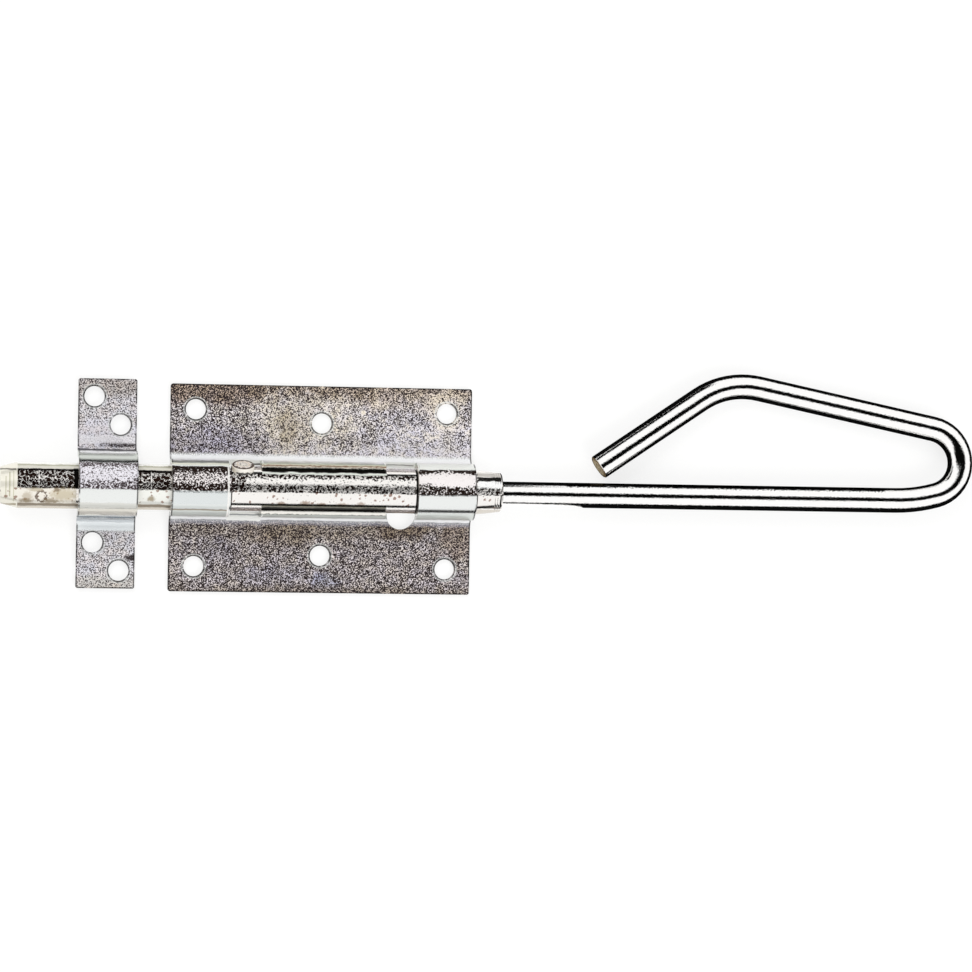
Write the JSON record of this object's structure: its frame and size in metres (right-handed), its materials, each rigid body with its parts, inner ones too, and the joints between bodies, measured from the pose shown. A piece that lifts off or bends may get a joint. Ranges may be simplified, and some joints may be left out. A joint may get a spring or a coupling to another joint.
{
  "type": "gate bolt",
  "caption": "Surface-mounted gate bolt: a round bolt in a pressed guide plate with a locking stud, a bent loop handle and a loose strap keeper.",
  "frame": {"origin": "centre of the guide plate's four corner screw holes, on the mounting plane", "axes": "+Z away from the gate, +X along the bolt towards the handle, +Y towards the side that the handle lies on"},
  "size_m": [0.3908, 0.0901, 0.022],
  "materials": {
    "plate_zinc": "zinc plated sheet, fine speckle",
    "keeper_zinc": "zinc plated strap, fine speckle",
    "bolt_zinc": "zinc plated turned bar, bright with rust specks",
    "rod_zinc": "bright zinc plated drawn rod",
    "stud_zinc": "zinc plated turned pin with a tan face"
  },
  "bodies": {
    "mounting": {"back_plate": "plate_zinc", "keeper": "keeper_zinc"},
    "bolt_and_handle": {"bolt": "bolt_zinc", "handle_rod": "rod_zinc", "lock_stud": "stud_zinc"}
  },
  "joints": [
    {"name": "bolt_turn", "type": "hinge", "parent": "mounting", "child": "bolt_and_handle", "pos_m": [0, 0, 0.0095], "axis": [1, 0, 0], "range_deg": [0, 157]}
  ]
}
